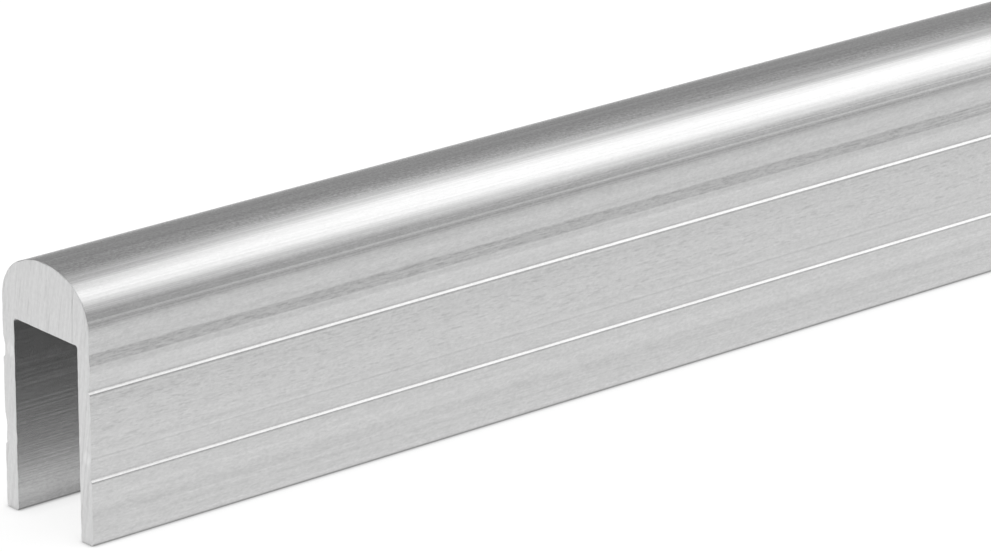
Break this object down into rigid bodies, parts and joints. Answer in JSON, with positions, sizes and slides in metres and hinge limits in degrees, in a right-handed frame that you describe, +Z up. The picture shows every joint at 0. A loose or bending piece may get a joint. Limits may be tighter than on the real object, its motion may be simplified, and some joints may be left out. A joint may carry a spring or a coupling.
{
  "type": "case closure profile",
  "caption": "Straight extruded aluminium channel with a rounded crown and a deep slot, pushed over a panel's edge to finish and close a case.",
  "frame": {"origin": "below the middle of the length, on the centre plane, level with the leg tips that the stock stands on", "axes": "+X along the stock, +Y across it from leg to leg, +Z up from the leg tips to the crown"},
  "size_m": [1, 0.0094, 0.0185],
  "materials": {
    "mill_finish_aluminium": "mill finish: satin, with fine lines along the stock, bright groove ledges and saw-cut ends"
  },
  "bodies": {
    "root": {"closure_profile": "mill_finish_aluminium"}
  },
  "joints": []
}
